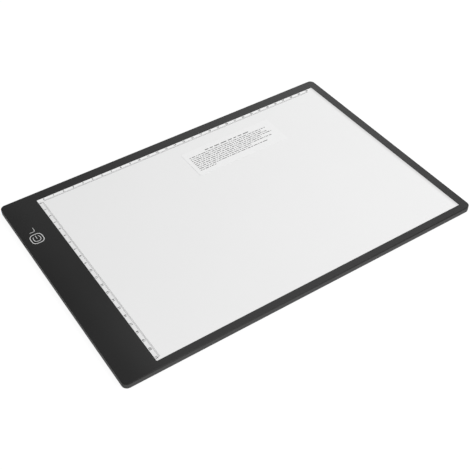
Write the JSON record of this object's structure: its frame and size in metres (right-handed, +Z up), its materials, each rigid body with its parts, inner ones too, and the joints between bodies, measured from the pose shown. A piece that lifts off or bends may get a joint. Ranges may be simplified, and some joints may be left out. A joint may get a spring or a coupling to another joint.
{
  "type": "led tracing pad",
  "caption": "Thin A4 light pad for tracing: opal window in a black frame, printed rulers, touch key and micro USB inlet in the wide left band.",
  "frame": {"origin": "on the table, under the middle of the pad", "axes": "+X from the wide band with the touch key to the far short edge, +Y from the front edge to the back edge, +Z up through the window"},
  "size_m": [0.3544, 0.2356, 0.0063],
  "materials": {
    "tray_plastic": "fine spark-eroded satin black",
    "face_plastic": "smooth satin black",
    "opal_acrylic": "opal white, soft gloss",
    "white_film": "matt white film",
    "clear_acrylic": "clear, polished edges",
    "white_tape": "matt white tape",
    "black_tape": "matt black foam tape",
    "label_paper": "thin matt label",
    "board_white": "white solder mask",
    "board_green": "green solder mask",
    "led_body": "moulded package with pale phosphor",
    "inlet_steel": "nickel plated sheet",
    "inlet_insulator": "black nylon",
    "chip_epoxy": "moulded epoxy",
    "resistor_body": "coated ceramic",
    "capacitor_body": "fired ceramic",
    "electrode_foam": "conductive foam",
    "wire_red": "PVC insulation",
    "wire_black": "PVC insulation",
    "foot_rubber": "soft matt rubber"
  },
  "bodies": {
    "root": {"back_cover": "tray_plastic", "face_frame": "face_plastic", "window_panel": "opal_acrylic", "face_tape": "white_tape", "diffuser_film": "white_film", "light_guide": "clear_acrylic", "reflector_film": "white_film", "edge_tape_front": "white_tape", "edge_tape_back": "white_tape", "edge_tape_right": "white_tape", "led_board": "board_white", "led_tape": "white_tape", "led_01": "led_body", "led_02": "led_body", "led_03": "led_body", "led_04": "led_body", "led_05": "led_body", "led_06": "led_body", "led_07": "led_body", "led_08": "led_body", "led_09": "led_body", "led_10": "led_body", "led_11": "led_body", "led_12": "led_body", "led_13": "led_body", "led_14": "led_body", "led_15": "led_body", "led_16": "led_body", "led_17": "led_body", "led_18": "led_body", "led_19": "led_body", "led_20": "led_body", "led_21": "led_body", "led_22": "led_body", "led_23": "led_body", "led_24": "led_body", "control_board": "board_green", "board_tape": "black_tape", "usb_shell": "inlet_steel", "usb_insulator": "inlet_insulator", "touch_electrode": "electrode_foam", "touch_chip": "chip_epoxy", "led_driver": "chip_epoxy", "resistor_1": "resistor_body", "resistor_2": "resistor_body", "resistor_3": "resistor_body", "capacitor_1": "capacitor_body", "capacitor_2": "capacitor_body", "wire_positive": "wire_red", "wire_negative": "wire_black", "foot_front_left": "foot_rubber", "foot_front_right": "foot_rubber", "foot_back_left": "foot_rubber", "foot_back_right": "foot_rubber", "notice_label": "label_paper"}
  },
  "joints": []
}
